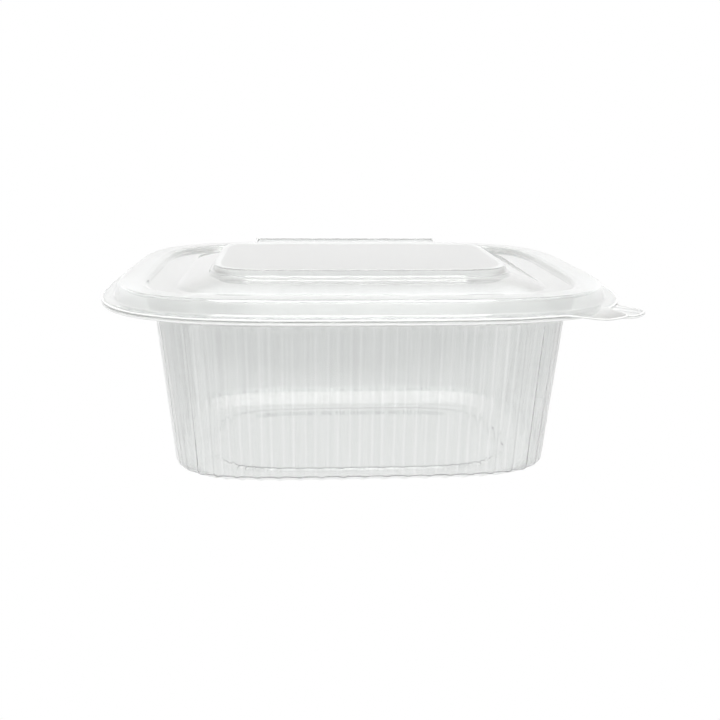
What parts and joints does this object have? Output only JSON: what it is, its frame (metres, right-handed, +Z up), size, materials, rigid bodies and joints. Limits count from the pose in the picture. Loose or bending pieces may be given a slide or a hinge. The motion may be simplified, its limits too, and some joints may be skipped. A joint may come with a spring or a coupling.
{
  "type": "takeaway meal container",
  "caption": "Clear rectangular takeaway meal container, empty, with a ribbed tapering tray and a shallow domed lid hinged along the back rim.",
  "frame": {"origin": "on the table, under the middle of the closed container's outline, hinge included", "axes": "+X to the container's right seen from its front, along its length; +Y to the back, where the hinge is; +Z up"},
  "size_m": [0.186, 0.1672, 0.0756],
  "materials": {
    "tray_plastic": "clear thin plastic, glossy, faintly grey",
    "lid_plastic": "clear thin plastic, glossy, a little milkier than the tray"
  },
  "bodies": {
    "tray": {"tray": "tray_plastic"},
    "lid": {"lid": "lid_plastic"}
  },
  "joints": [
    {"name": "lid_hinge", "type": "hinge", "parent": "tray", "child": "lid", "pos_m": [0, 0.08292, 0.07165], "axis": [-1, 0, 0], "range_deg": [0, 180]}
  ]
}
